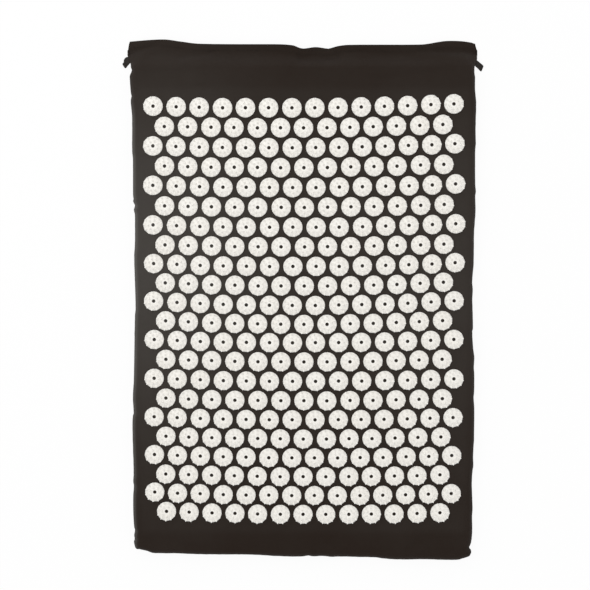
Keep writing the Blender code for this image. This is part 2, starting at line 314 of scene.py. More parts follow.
def cover_place(across, along):
    """Where a point of the front cloth lies, as (x, y, share of height, distance from the edge).

    across runs from -1 to 1 over the flat and on to 2.5 at the seam's lip; along does so at the foot.
    """
    side = -1 if across < 0 else 1
    inset_x, rise = edge_profile(across)
    flat_length = hinge_line - foot_middle - edge_roll
    if along < -1:
        inset_y, rise_y = edge_profile(along)
        rise = min(rise, rise_y) if abs(across) > 1 else rise_y
    else:
        inset_y = edge_roll + (along + 1) / 2 * flat_length
        rise = rise if abs(across) > 1 else 1.0
    near_foot = 1 - smooth(inset_y / flat_length)
    plain_x = min(1, abs(across)) * foot_reach + edge_roll - inset_x
    skew = (foot_at(side * plain_x) - foot_middle) * near_foot
    reach = half_width(side, foot_middle + inset_y + skew)
    if abs(across) <= 1:
        inset_x = edge_roll + (1 - abs(across)) * (reach - edge_roll)
    distance = min(inset_x, inset_y)
    if inset_x < corner_radius and inset_y < corner_radius:
        square_x = 1 - inset_x / corner_radius
        square_y = 1 - inset_y / corner_radius
        round_x = square_x * math.sqrt(1 - square_y**2 / 2)
        round_y = square_y * math.sqrt(1 - square_x**2 / 2)
        inset_x = corner_radius * (1 - round_x)
        inset_y = corner_radius * (1 - round_y)
        distance = corner_radius * (1 - math.hypot(round_x, round_y))
        if abs(across) <= 2 and along >= -2:
            rise = math.sqrt(max(0.0, 1 - max(0.0, 1 - distance / edge_roll) ** 2))
    return side * (reach - inset_x), foot_middle + inset_y + skew, rise, distance


def off_crease(x, y):
    """How far the cloth sinks here into its creases, with a low roll beside each."""
    sunk = 0.0
    for (x0, y0), (x1, y1), width, depth in creases:
        run_x, run_y = x1 - x0, y1 - y0
        length = math.hypot(run_x, run_y)
        on = ((x - x0) * run_x + (y - y0) * run_y) / length
        aside = ((x - x0) * run_y - (y - y0) * run_x) / length
        past = max(0.0, -on, on - length)
        fade = math.exp(-((past / (crease_end_share * width)) ** 2))
        groove = math.exp(-((aside / width) ** 2))
        roll = math.exp(-(((aside - crease_roll_place * width) / (crease_roll_width * width)) ** 2))
        sunk += fade * depth * (crease_roll_share * roll - groove)
    return sunk


def field_share(x, y):
    """1 among the rosettes, which hold the cloth flat, and 0 from a little outside them."""
    out_x = max(0.0, abs(x) - field_half_width)
    out_y = max(0.0, y - field_head, field_foot - y)
    return 1 - smooth(math.hypot(out_x, out_y) / field_margin)


def cloth_lift(x, y, distance, seed):
    """How far slack, puckers and the rim over the seam allowance lift the cloth off its plain shape."""
    near_side = abs(x) > foot_reach or y > foot_middle + foot_band
    run = y if near_side else x
    fine_run = fine_pucker_count * run / pucker_pitch
    fine_place = Vector((fine_run, distance / fine_pucker_length, seed + fine_pucker_seed))
    pucker = noise.noise(Vector((run / pucker_pitch, distance / pucker_length, seed)))
    pucker += fine_pucker_share * noise.noise(fine_place)
    gathered = pucker_height * pucker * math.exp(-distance / pucker_reach)
    rim = rim_height * math.exp(-(((distance - rim_inset) / rim_width) ** 2))
    slack = slack_height * noise.noise(Vector((x / slack_pitch, y / slack_pitch, seed + slack_seed)))
    return gathered + rim + (slack + off_crease(x, y)) * (1 - field_share(x, y))


def painted_light_share(x, y):
    """How much painted light lightens the cloth's colour: among the rosettes against the shade they cast,
    on the left and half-way along where the light falls, and as a painted highlight on the left seam's
    rolled edge.
    """
    side = painted_light_left if x < 0 else painted_light_right
    reach = painted_light_reach_head if y > painted_light_middle else painted_light_reach_foot
    along = math.exp(-(((y - painted_light_middle) / reach) ** 2))
    plain = along * (painted_light_centre + (side - painted_light_centre) * smooth(abs(x) / field_half_width))
    from_edge = x + half_width(-1, y)
    # Painted highlight along the left rolled edge, which faces the light.
    rim = rim_painted_highlight * math.exp(-(((from_edge - rim_painted_highlight_inset) / rim_painted_highlight_width) ** 2))
    return plain + field_painted_light * field_share(x, y) + rim * smooth((rim_painted_highlight_end - y) / rim_painted_highlight_run)


def even_steps(count):
    """Evenly spaced places from -1 to 1."""
    return [2 * step / count - 1 for step in range(count + 1)]


rolled_edge = [1 + step / roll_columns for step in range(1, roll_columns + 1)] + [*lip_places]


def columns():
    """Places across the cloth: close together in the rolled edges, and even over the flat."""
    return [-place for place in reversed(rolled_edge)] + even_steps(flat_columns) + rolled_edge


def rows():
    return [-place for place in reversed(rolled_edge)] + even_steps(flat_rows)


def cloth_grid(name, across_places, along_places, place_of):
    """A grid with a column and a row at each place, and its flat cloth as its UV map, in metres."""
    bpy.ops.mesh.primitive_grid_add(
        x_subdivisions=len(across_places) - 1, y_subdivisions=len(along_places) - 1, size=2
    )
    piece = bpy.context.active_object
    piece.name = name
    piece.data.name = name
    mesh = piece.data
    last_column = len(across_places) - 1
    last_row = len(along_places) - 1
    flat = []
    for vertex in mesh.vertices:
        across = across_places[round((vertex.co.x + 1) / 2 * last_column)]
        along = along_places[round((vertex.co.y + 1) / 2 * last_row)]
        vertex.co, laid = place_of(across, along)
        flat.append(laid)
    for loop in mesh.loops:
        mesh.uv_layers.active.data[loop.index].uv = flat[loop.vertex_index]
    # The fade attribute holds each point's painted light.
    fade = mesh.attributes.new("fade", "FLOAT", "POINT")
    for vertex in mesh.vertices:
        fade.data[vertex.index].value = painted_light_share(vertex.co.x, vertex.co.y)
    return piece


def thicken(piece, thickness, offset):
    solid = piece.modifiers.new("thickness", "SOLIDIFY")
    solid.thickness = thickness
    solid.offset = offset
    solid.use_even_offset = False
    bpy.context.view_layer.objects.active = piece
    bpy.ops.object.modifier_apply(modifier="thickness")
    bpy.ops.object.shade_smooth_by_angle(angle=smooth_angle)


def keep_above(piece, lowest):
    """Lifts what the thickness pushed below this height."""
    for vertex in piece.data.vertices:
        vertex.co.z = max(vertex.co.z, lowest)


def texture_on(tree, kind, source, scale):
    """A texture node on these coordinates."""
    texture = tree.nodes.new(kind)
    texture.inputs["Scale"].default_value = scale
    place = tree.nodes.new("ShaderNodeTexCoord")
    tree.links.new(place.outputs[source], texture.inputs["Vector"])
    return texture


def raise_surface(tree, shader, height, strength, distance):
    """Bumps the shader's surface by this height."""
    raised = tree.nodes.new("ShaderNodeBump")
    raised.inputs["Strength"].default_value = strength
    raised.inputs["Distance"].default_value = distance
    tree.links.new(height, raised.inputs["Height"])
    tree.links.new(raised.outputs["Normal"], shader.inputs["Normal"])


def colour_between(tree, shader, share, first, second):
    """Gives the shader the first colour where the share is 0 and the second where it is 1."""
    tone = tree.nodes.new("ShaderNodeMix")
    tone.data_type = "RGBA"
    tone.inputs["A"].default_value = (*first, 1)
    tone.inputs["B"].default_value = (*second, 1)
    tree.links.new(share, tone.inputs["Factor"])
    tree.links.new(tone.outputs["Result"], shader.inputs["Base Color"])


def woven(name, colour, lighter, yarn_pitch, bump, patch_share=1.0):
    """Plain weave: crossed ridges of yarn, slubs, and worn patches that go towards the lighter colour.

    The piece's fade attribute, where it has one, holds painted light and takes it there too: all the way
    at 2.
    """
    cloth, tree, shader = new_material(name, 0.92, 0.12)
    shader.inputs["Sheen Weight"].default_value = 0.03
    shader.inputs["Sheen Roughness"].default_value = 0.6
    ridges = []
    for direction in ("X", "Y"):
        yarn = texture_on(tree, "ShaderNodeTexWave", "UV", math.pi / 10 / yarn_pitch)
        yarn.bands_direction = direction
        yarn.inputs["Distortion"].default_value = 0.6
        yarn.inputs["Detail"].default_value = 1.0
        yarn.inputs["Detail Scale"].default_value = 40
        ridges.append(yarn.outputs["Fac"])
    slub = texture_on(tree, "ShaderNodeTexNoise", "UV", 900)
    slub.inputs["Detail"].default_value = 3
    crossed = math_of(tree, "ADD", *ridges)
    rough = math_of(tree, "MULTIPLY_ADD", slub.outputs["Fac"], 0.9, crossed)
    raise_surface(tree, shader, rough, bump, yarn_pitch / 3)
    patch = texture_on(tree, "ShaderNodeTexNoise", "UV", 9)
    patch.inputs["Detail"].default_value = 6
    patch.inputs["Roughness"].default_value = 0.65
    worn = tree.nodes.new("ShaderNodeMapRange")
    worn.inputs["From Min"].default_value = 0.35
    worn.inputs["From Max"].default_value = 0.75
    worn.inputs["To Max"].default_value = patch_share
    tree.links.new(patch.outputs["Fac"], worn.inputs["Value"])
    # The fade attribute is painted light; together with the worn patches it takes the colour towards the
    # lighter one.
    fade = tree.nodes.new("ShaderNodeAttribute")
    fade.attribute_name = "fade"
    pale = math_of(tree, "MULTIPLY_ADD", fade.outputs["Fac"], 0.5, worn.outputs["Result"])
    pale.node.use_clamp = True
    colour_between(tree, shader, pale, colour, lighter)
    return cloth


dye = (0.0157, 0.0090, 0.0056)
# The lighter colour, which the worn patches and the painted light take the cloth towards.
wear_and_painted_light_dye = (0.0975, 0.0920, 0.0840)
cover_cloth = woven("cover_cloth", dye, wear_and_painted_light_dye, yarn_pitch=0.0006, bump=0.5, patch_share=0.06)


def flat_place(x, y):
    """Where this point lies on the cut cloth, which is longer by what the edges and hems take up."""
    return x * take_up_across, y * take_up_along


def front_place(across, along):
    x, y, rise, distance = cover_place(across, along)
    edge = seam_height + clearance / 2
    z = edge + (panel_top - edge) * rise
    side = -1 if x < 0 else 1
    lift = cloth_lift(x, y, distance, front_seed) if rise > 0 else 0.0
    if rise < 1 and abs(across) > 1:
        x += side * lift * (1 - rise) * edge_waver
    elif rise < 1:
        y -= lift * (1 - rise) * edge_waver
    z += lift * rise
    return (x, y, z), flat_place(x, y)


def dress(piece, material):
    piece.data.materials.clear()
    piece.data.materials.append(material)


front_cloth = cloth_grid("front_cloth", columns(), rows(), front_place)
thicken(front_cloth, cloth_thickness, -1)
dress(front_cloth, cover_cloth)
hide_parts("front_panel")
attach(front_cloth, "cover")

# Mouth flap: the same front cloth past the foam, eased down to the open end in long soft waves. It
# is in two pieces that meet by the closure's right end; the side seams hold their outer edges.
closure_edge = 0.047
column_gap = 0.004
flap_rows = 16
hem_rows = 5
flap_ramp = 0.030
flap_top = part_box("front_hem")[1].z
flap_edge_top = 0.0023
wave_height = 0.0012
wave_pitch_across = 0.040
wave_pitch_along = 0.07
wave_seed = 31
wave_margin = 0.03


def mouth_edge(x):
    """The mouth's edge: a lobe near each corner and two soft notches where the closure is sewn."""
    return along_line(mouth_edge_line, x)


def mouth_section(across, share, reach):
    """Across the flap: (x, z) between the rolled edge at the foam and the low mouth."""
    side = -1 if across < 0 else 1
    inset, rise = edge_profile(across)
    edge = seam_height + clearance / 2
    beyond = min(abs(across) - 1, 1)
    if beyond <= 0:
        x = abs(across) * (reach - edge_roll * (1 - share) - flap_ramp * share)
        root_z = panel_top
        mouth_z = flap_top
    else:
        x = reach - inset * (1 - share) - (inset if beyond == 1 else flap_ramp * (1 - beyond)) * share
        root_z = edge + (panel_top - edge) * rise
        mouth_z = flap_edge_top + (flap_top - flap_edge_top) * smooth(1 - beyond)
    return side * x, root_z * (1 - share) + mouth_z * share


def flap_place(across, along):
    """along runs from 0 at the foam's end to 1 at the hem's stitches and 2 at the mouth's edge."""
    share = smooth(along)
    plain_x, _ = mouth_section(across, share, mat_half_width)
    y = hinge_line + (mouth_edge(plain_x) - hem_depth - hinge_line) * min(along, 1)
    y += hem_depth * max(along - 1, 0)
    side = -1 if across < 0 else 1
    reach = half_width(side, y)
    x, z = mouth_section(across, share, reach)
    if abs(across) > 2:
        return (x, y, z), flat_place(x, y)
    distance = reach - abs(x)
    lift = cloth_lift(x, y, distance, front_seed)
    wave = noise.noise(Vector((x / wave_pitch_across, y / wave_pitch_along, wave_seed)))
    lift += wave_height * wave * share * smooth(distance / wave_margin)
    if abs(across) > 1:
        rise = edge_profile(across)[1] * (1 - share) + share
        x += side * lift * (1 - rise) * edge_waver
        z += lift * rise
    else:
        z += lift
    return (x, y, z), flat_place(x, y)


def flap_columns(side):
    """The columns of one half. The halves share the column that starts at the closure's right end."""
    split = closure_edge / (mat_half_width - edge_roll)
    if side < 0:
        return [place for place in columns() if place < split - column_gap] + [split]
    return [split] + [place for place in columns() if place > split + column_gap]


flap_along = [step / flap_rows for step in range(flap_rows + 1)]
flap_along += [1 + step / hem_rows for step in range(1, hem_rows + 1)]


def hold_at_seam(piece):
    """Bakes the piece's place into its mesh; it is not attached to a body."""
    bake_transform(piece)


halves = (("left", -1), ("right", 1))
for half, side in halves:
    flap = cloth_grid(f"mouth_flap_{half}", flap_columns(side), flap_along, flap_place)
    thicken(flap, cloth_thickness, -1)
    dress(flap, cover_cloth)
    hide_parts("mouth_flap", "front_hem")
    hold_at_seam(flap)

# Front hem: the cloth's edge turned under once more and stitched down, a second layer inside the
# mouth that ends in a fold at the very edge.
fold_gap = 0.00015
fold_share = 0.97
fold_floor = 0.0002


def front_fold_place(across, along):
    """The turned-under layer, from the stitches at along 0 to the fold at along 1."""
    (x, y, z), laid = flap_place(across, 1 + along * fold_share)
    return (x, y, z - cloth_thickness - fold_gap), laid


fold_along = [step / hem_rows for step in range(hem_rows + 1)]
for half, side in halves:
    inner = [place for place in flap_columns(side) if abs(place) <= 2]
    fold = cloth_grid(f"front_hem_fold_{half}", inner, fold_along, front_fold_place)
    thicken(fold, cloth_thickness, -1)
    keep_above(fold, fold_floor)
    dress(fold, cover_cloth)
    hold_at_seam(fold)

# Back cloth: the same cotton as the front, flat on the floor under the foam, its edges turned up to
# meet the front cloth at half height.
past_foam_rows = 8
back_seed = 40.0


def back_place(across, along):
    """As the front cloth, but turned up from the floor; past the foam it flattens to its hem."""
    x, y, rise, distance = cover_place(across, min(along, 1))
    closed = 0.0
    if along > 1:
        y = hinge_line + (mouth_edge(x) - hem_depth - hinge_line) * (along - 1)
        closed = smooth(along - 1)
        side = -1 if x < 0 else 1
        x *= half_width(side, y) / half_width(side, hinge_line)
    side = -1 if x < 0 else 1
    edge = seam_height - clearance / 2
    z = edge * (1 - rise) * (1 - closed)
    if 0 < rise < 1:
        lift = cloth_lift(x, y, distance, back_seed) * edge_waver
        if abs(across) > 1:
            x += side * lift * (1 - rise)
        else:
            y -= lift * (1 - rise)
    return (x, y, z), flat_place(x, y)


def make_back():
    past_foam = [1 + step / past_foam_rows for step in range(1, past_foam_rows + 1)]
    back = cloth_grid("back_cloth", columns(), rows() + past_foam, back_place)
    thicken(back, cloth_thickness, 1)
    keep_above(back, 0.0)
    dress(back, cover_cloth)
    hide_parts("back_panel")
    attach(back, "cover")


make_back()

# Back hem: the back cloth's edge folded up on itself, two layers thick, flat on the floor.
hem_thickness = 0.001
hem_setback = 0.002
hem_columns = 80


def back_hem_place(across, along):
    y = mouth_edge(across * mat_half_width) - hem_depth + along * (hem_depth - hem_setback)
    x = across * half_width(-1 if across < 0 else 1, y)
    return (x, y, hem_thickness), flat_place(x, y)


back_hem = cloth_grid("back_hem_fold", even_steps(hem_columns), fold_along, back_hem_place)
thicken(back_hem, hem_thickness, -1)
dress(back_hem, cover_cloth)
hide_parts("back_hem")
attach(back_hem, "cover")

# Seam allowances: the two cloth edges stitched together and turned inside, as a strip along each
# side and one along the foot, just behind the seam.
allowance_inset = 0.0014
allowance_width = 0.004
allowance_wave = 0.00015
allowance_steps = 150
allowance_start = 0.017
side_allowance_seed = 7
foot_allowance_seed = 9
allowance_top = seam_height + cloth_thickness
allowance_foot = foot_middle + allowance_start


def side_allowance_place(side):
    def place(across, along):
        y = allowance_foot + (hinge_line - allowance_foot) * (along + 1) / 2
        middle = half_width(side, y) - allowance_inset - allowance_width / 2
        x = side * middle + across * allowance_width / 2
        wave = allowance_wave * noise.noise(Vector((y / pucker_pitch, across, side_allowance_seed + side)))
        return (x, y, allowance_top + wave), (x, y)
    return place


def foot_allowance_place(across, along):
    x = across * (foot_reach - allowance_width / 2)
    outer = foot_at(x) + allowance_inset
    inner = min(outer + allowance_width, foam_low.y - clearance)
    y = outer + (inner - outer) * (along + 1) / 2
    wave = allowance_wave * noise.noise(Vector((x / pucker_pitch, along, foot_allowance_seed)))
    return (x, y, allowance_top + wave), (x, y)


def make_allowance(name, node, across_places, along_places, place_of):
    strip = cloth_grid(name, across_places, along_places, place_of)
    thicken(strip, 2 * cloth_thickness, -1)
    dress(strip, cover_cloth)
    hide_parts(node)
    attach(strip, "cover")


ends = (-1, 0, 1)
steps_along = even_steps(allowance_steps)
make_allowance("left_allowance", "left_side_seam", ends, steps_along, side_allowance_place(-1))
make_allowance("right_allowance", "right_side_seam", ends, steps_along, side_allowance_place(1))
make_allowance("foot_allowance", "foot_seam", steps_along, ends, foot_allowance_place)

# Hem stitches: dark polyester thread, one short straight stitch after another along the hem, on
# the front cloth and on the back hem.
stitch_pitch = 0.0034
stitch_length = 0.0027
stitch_thickness = 0.0005
stitch_rise = stitch_thickness / 4
stitch_inset = 0.0022
stitches_end = 0.2165


def thread_material():
    thread, tree, shader = new_material("sewing_thread", 0.65, 0.2)
    twist = texture_on(tree, "ShaderNodeTexWave", "Object", 900)
    twist.bands_direction = "DIAGONAL"
    raise_surface(tree, shader, twist.outputs["Fac"], 0.6, 0.0001)
    colour_between(tree, shader, twist.outputs["Fac"], (0.010, 0.0065, 0.0045), (0.020, 0.0135, 0.0095))
    return thread


sewing_thread = thread_material()


def join_all(pieces, name):
    """The pieces as one mesh, with its place in its mesh."""
    bpy.ops.object.select_all(action="DESELECT")
    for piece in pieces:
        piece.select_set(True)
    bpy.context.view_layer.objects.active = pieces[0]
    if len(pieces) > 1:
        bpy.ops.object.join()
    joined = bpy.context.active_object
    bpy.ops.object.transform_apply(location=True, rotation=True, scale=True)
    bpy.ops.object.origin_set(type="ORIGIN_CURSOR")
    joined.name = name
    joined.data.name = name
    return joined


def copies_of(pattern, placings):
    """A copy of the pattern, with its own mesh, at each placing's matrix. The pattern goes."""
    made = []
    for placing in placings:
        copy = bpy.data.objects.new(pattern.name, pattern.data.copy())
        copy.matrix_world = placing
        bpy.context.collection.objects.link(copy)
        made.append(copy)
    bpy.data.objects.remove(pattern)
    return made


def stitch_line(name, points):
    """One stitch, a short plump thread, at each point and turned towards the next."""
    bpy.ops.mesh.primitive_uv_sphere_add(segments=6, ring_count=5, radius=0.5)
    stitch = bpy.context.active_object
    bpy.ops.object.shade_smooth()
    size = Matrix.Diagonal((stitch_length, stitch_thickness, stitch_thickness, 1))
    placings = []
    for place, following in zip(points, points[1:]):
        step = Vector(following) - Vector(place)
        middle = (Vector(following) + Vector(place)) / 2
        turn = step.to_track_quat("X", "Z").to_matrix().to_4x4()
        placings.append(Matrix.Translation(middle) @ turn @ size)
    line = join_all(copies_of(stitch, placings), name)
    dress(line, sewing_thread)
    return line


def on_front_hem(x):
    """The top of the front hem at its stitches, at this place across."""
    reach = half_width(-1 if x < 0 else 1, mouth_edge(x) - hem_depth + stitch_inset) - flap_ramp
    beyond = max(0.0, abs(x) - reach) / flap_ramp
    across = math.copysign(1 + beyond, x) if beyond else x / reach
    (px, py, pz), _ = flap_place(across, 1 + stitch_inset / hem_depth)
    return px, py, pz + stitch_rise


def even_places(low, high, pitch):
    count = round((high - low) / pitch)
    return [low + (high - low) * step / count for step in range(count + 1)]


for half, side in halves:
    low_end, high_end = sorted((side * stitches_end, closure_edge))
    hem_points = [on_front_hem(x) for x in even_places(low_end, high_end, stitch_pitch)]
    line = stitch_line(f"hem_stitches_{half}", hem_points)
    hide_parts("front_hem_thread")
    hold_at_seam(line)

back_points = [(x, mouth_edge(x) - hem_depth + stitch_inset, hem_thickness + stitch_rise)
               for x in even_places(-stitches_end, stitches_end, stitch_pitch)]
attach(stitch_line("back_hem_stitches", back_points), "cover")

# Closure: a patch of hook tape sewn on the back hem and a patch of loop tape under the front hem,
# held by a line of stitches round it. Both end a little inside the mouth's edge and the crease.
tape_setback = 0.0012
tape_end_setback = 0.0025
tape_thickness = 0.0009
hook_pitch = 0.0018
hook_foot_radius = 0.00035
hook_top_radius = 0.00018
hook_lean = 0.0005
pile_cells = (56, 16)
pile_margin = 0.001
pile_depth = 0.0009
tuft_height = 0.0003
tuft_pitch = 0.0021
tuft_seed = 3
closure_stitch_inset = 0.0015
hook_low, hook_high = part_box("hook_patch")
loop_low, loop_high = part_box("loop_patch")
hook_high = hook_high - Vector((tape_end_setback, tape_setback, 0))
loop_high = loop_high - Vector((tape_end_setback, tape_setback, 0))


def tape_material(name, colour, fuzz_scale):
    tape, tree, shader = new_material(name, 0.85, 0.25)
    fuzz = texture_on(tree, "ShaderNodeTexVoronoi", "Object", fuzz_scale)
    raise_surface(tree, shader, fuzz.outputs["Distance"], 0.8, 0.0004)
    colour_between(tree, shader, fuzz.outputs["Distance"], colour, [2 * part for part in colour])
    return tape


def tape_base(low, high, bottom):
    middle = ((low.x + high.x) / 2, (low.y + high.y) / 2, bottom + tape_thickness / 2)
    bpy.ops.mesh.primitive_cube_add(size=1, location=middle)
    base = bpy.context.active_object
    base.scale = (high.x - low.x, high.y - low.y, tape_thickness)
    bpy.ops.object.transform_apply(location=False, rotation=False, scale=True)
    bpy.ops.object.mode_set(mode="EDIT")
    bpy.ops.mesh.select_all(action="SELECT")
    bpy.ops.mesh.bevel(offset=tape_thickness / 4, segments=2, affect="EDGES")
    bpy.ops.object.mode_set(mode="OBJECT")
    return base


def make_hook_patch():
    """Stiff hooks stand in rows on their tape; each leans over at its top."""
    hook_height = hook_high.z - hook_low.z - tape_thickness
    base = tape_base(hook_low, hook_high, hook_low.z)
    bpy.ops.mesh.primitive_cone_add(
        vertices=4, radius1=hook_foot_radius, radius2=hook_top_radius, depth=hook_height)
    hook = bpy.context.active_object
    for vertex in hook.data.vertices:
        if vertex.co.z > 0:
            vertex.co.x += hook_lean
    height = hook_low.z + tape_thickness + hook_height / 2
    placings = [Matrix.Translation((x, y, height))
                for x in even_places(hook_low.x + hook_pitch, hook_high.x - hook_pitch, hook_pitch)
                for y in even_places(hook_low.y + hook_pitch, hook_high.y - hook_pitch, hook_pitch)]
    return join_all([base, *copies_of(hook, placings)], "hook_tape")


def make_loop_patch():
    """Brushed loops hang under their tape as an uneven pile."""
    base = tape_base(loop_low, loop_high, loop_high.z - tape_thickness)
    middle = ((loop_low.x + loop_high.x) / 2, (loop_low.y + loop_high.y) / 2, loop_low.z)
    bpy.ops.mesh.primitive_grid_add(
        x_subdivisions=pile_cells[0], y_subdivisions=pile_cells[1], size=1, location=middle)
    pile = bpy.context.active_object
    pile.scale = (loop_high.x - loop_low.x - pile_margin, loop_high.y - loop_low.y - pile_margin, 1)
    bpy.ops.object.transform_apply(location=False, rotation=False, scale=True)
    for vertex in pile.data.vertices:
        tuft = noise.noise(Vector((vertex.co.x / tuft_pitch, vertex.co.y / tuft_pitch, tuft_seed)))
        vertex.co.z += tuft_height + tuft_height * tuft
    solid = pile.modifiers.new("pile", "SOLIDIFY")
    solid.thickness = pile_depth
    solid.offset = 1
    bpy.ops.object.modifier_apply(modifier="pile")
    return join_all([base, pile], "loop_tape")


hook = make_hook_patch()
dress(hook, tape_material("hook_tape", (0.022, 0.020, 0.019), 1100))
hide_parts("hook_patch")
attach(hook, "cover")
loop = make_loop_patch()
dress(loop, tape_material("loop_tape", (0.024, 0.022, 0.021), 700))
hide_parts("loop_patch")
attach(loop, "mouth")


def patch_outline(low, high, inset, top):
    corners = ((low.x + inset, low.y + inset), (high.x - inset, low.y + inset),
               (high.x - inset, high.y - inset), (low.x + inset, high.y - inset))
    points = []
    for (x0, y0), (x1, y1) in zip(corners, corners[1:] + corners[:1]):
        count = round(math.hypot(x1 - x0, y1 - y0) / stitch_pitch)
        for step in range(count):
            x = x0 + (x1 - x0) * step / count
            y = y0 + (y1 - y0) * step / count
            points.append((x, y, top(x, y)))
    return points + points[:1]


def on_flap(x, y):
    """The flap's upper face at this place, away from its edges."""
    stitches = mouth_edge(x) - hem_depth
    along = (y - hinge_line) / (stitches - hinge_line)
    if y > stitches:
        along = 1 + (y - stitches) / hem_depth
    share = smooth(along)
    reach = half_width(-1 if x < 0 else 1, y) - edge_roll * (1 - share) - flap_ramp * share
    (_, _, z), _ = flap_place(x / reach, along)
    return z + stitch_rise


closure_points = patch_outline(loop_low, loop_high, closure_stitch_inset, on_flap)
closure_line = stitch_line("closure_stitches", closure_points)
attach(closure_line, "mouth")

# Tape tabs: the cut ends of a narrow cotton tape sewn into each side seam, slanting out and down.
# The left one curls over towards its end; the right one lies nearly straight.
tab_thickness = 0.0009
tab_width = 0.0078
tab_length = 0.0115
tab_corner_wear = 0.08
tab_clearance = 0.0006
tab_arch = 0.0004
tab_cup = 0.00035
tab_steps = 12
tab_tape = woven("tab_tape", (0.028, 0.024, 0.021), (0.040, 0.036, 0.032), yarn_pitch=0.0009, bump=0.8)

# The tape's two long sides from the seam to the cut end: how far each lies out from the seam and how
# far towards the foot, as (share of the length, distance)
left_upper = (((0, -0.0010), (0.35, 0.0032), (0.6, 0.0061), (0.85, 0.0070), (1, 0.0092)),
              ((0, -0.0054), (0.35, -0.0050), (0.6, -0.0024), (0.85, 0.0014), (1, 0.0027)))
left_lower = (((0, -0.0030), (0.35, -0.0002), (0.6, 0.0006), (0.85, 0.0023), (1, 0.0047)),
              ((0, 0.0016), (0.35, 0.0036), (0.6, 0.0045), (0.85, 0.0059), (1, 0.0096)))
right_upper = (((0, -0.0030), (0.5, 0.0021), (1, 0.0074)), ((0, -0.0019), (0.5, 0.0016), (1, 0.0054)))
right_lower = (((0, -0.0064), (0.5, -0.0016), (0.85, 0.0021), (1, 0.0042)),
               ((0, 0.0042), (0.5, 0.0078), (0.85, 0.0109), (1, 0.0134)))


def make_tab(name, node, body, side, upper, lower):
    joint = next(j for j in frame["joints"] if j["name"] == f"{body}_hinge")
    root = Vector(joint["pos_m"])

    def tab_place(across, along):
        share = (along + 1) / 2 * (1 - tab_corner_wear * across**8)
        to_upper = (across + 1) / 2
        out, down = [along_line(low, share) * (1 - to_upper) + along_line(high, share) * to_upper
                     for low, high in zip(lower, upper)]
        z = root.z * (1 - smooth(share)) + (tab_thickness + tab_clearance) * smooth(share)
        z += tab_arch * math.sin(math.pi * share) + tab_cup * across**2 * share
        return (root.x + side * out, root.y - down, z), (tab_width * across / 2, tab_length * share)

    steps = even_steps(tab_steps)
    tab = cloth_grid(name, steps, steps, tab_place)
    # The tapes take no painted light, so their fade attribute goes.
    tab.data.attributes.remove(tab.data.attributes["fade"])
    bpy.ops.object.mode_set(mode="EDIT")
    bpy.ops.mesh.select_all(action="SELECT")
    bpy.ops.mesh.normals_make_consistent(inside=False)
    bpy.ops.object.mode_set(mode="OBJECT")
    thicken(tab, tab_thickness, 0)
    dress(tab, tab_tape)
    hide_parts(node)
    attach(tab, body)


make_tab("left_tape", "left_tape_tab", "left_tab", -1, left_upper, left_lower)
make_tab("right_tape", "right_tape_tab", "right_tab", 1, right_upper, right_lower)

# Foam pad: a straight-cut block of pale open-cell foam inside the cover, with softly worn edges.
foam_edge = 0.005
foam_dent = 0.0004
foam_dent_pitch = 0.045
foam_cuts = 21
foam_flat_share = 0.7


def foam_material():
    foam, tree, shader = new_material("open_cell_foam", 0.95, 0.15)
    cells = texture_on(tree, "ShaderNodeTexVoronoi", "Object", 620)
    raise_surface(tree, shader, cells.outputs["Distance"], 0.7, 0.0006)
    colour_between(tree, shader, cells.outputs["Distance"], (0.60, 0.57, 0.49), (0.74, 0.72, 0.65))
    return foam


def foam_coordinate(share, half):
    """From the middle to a side of the block: wide steps on the flat and close ones round the edge."""
    reach = abs(share)
    if reach <= foam_flat_share:
        place = (half - foam_edge) * reach / foam_flat_share
    else:
        place = half - foam_edge + foam_edge * (reach - foam_flat_share) / (1 - foam_flat_share)
    return math.copysign(place, share)


def make_foam():
    middle = (foam_high + foam_low) / 2
    half = (foam_high - foam_low) / 2
    bpy.ops.mesh.primitive_cube_add(size=2)
    foam = bpy.context.active_object
    foam.name = "foam_block"
    foam.data.name = "foam_block"
    bpy.ops.object.mode_set(mode="EDIT")
    bpy.ops.mesh.select_all(action="SELECT")
    bpy.ops.mesh.subdivide(number_cuts=foam_cuts)
    bpy.ops.object.mode_set(mode="OBJECT")
    for vertex in foam.data.vertices:
        place = Vector([foam_coordinate(part, size) for part, size in zip(vertex.co, half)])
        core = Vector([max(edge - size, min(size - edge, part))
                       for part, size, edge in zip(place, half, (foam_edge,) * 3)])
        dent = 0.5 + 0.5 * noise.noise((place + middle) / foam_dent_pitch)
        vertex.co = middle + core + (place - core).normalized() * (foam_edge - foam_dent * dent)
    bpy.ops.object.shade_smooth_by_angle(angle=math.radians(60))
    dress(foam, foam_material())
    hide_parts("foam_pad")
    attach(foam, "foam_insert")


make_foam()

# Rosettes: moulded off-white plastic discs, pressed flat onto the cloth. Each has a hole in its
# middle, eleven spikes whose outer faces are flush with its rim and seven nearer the hole.
rosette_radius = 0.01218
hole_radius = 0.00235
disc_thickness = 0.0009
rim_chamfer = 0.0003
level_normal = 0.9
outer_spikes = 11
outer_spike_ring = 0.0106
outer_spike_lean = 0.0011
inner_spikes = 7
inner_spike_ring = 0.0062
inner_spike_turn = 0.2
spike_radius = 0.0017
spike_tip_radius = 0.0005
spike_height = 0.0037
spike_sides = 6
column_pitch = 0.029
first_row = 0.2443
last_row = -0.26894
rows_sag = 0.0018
row_bow = 0.0035
waist_bow = 0.0022
waist_bow_reach = 0.045
row_fan = 0.0012
row_fan_reach = 0.25662
row_slant = 0.0003
field_aside = 0.0004
placing_error = 0.00025
disc_rise = 0.00005

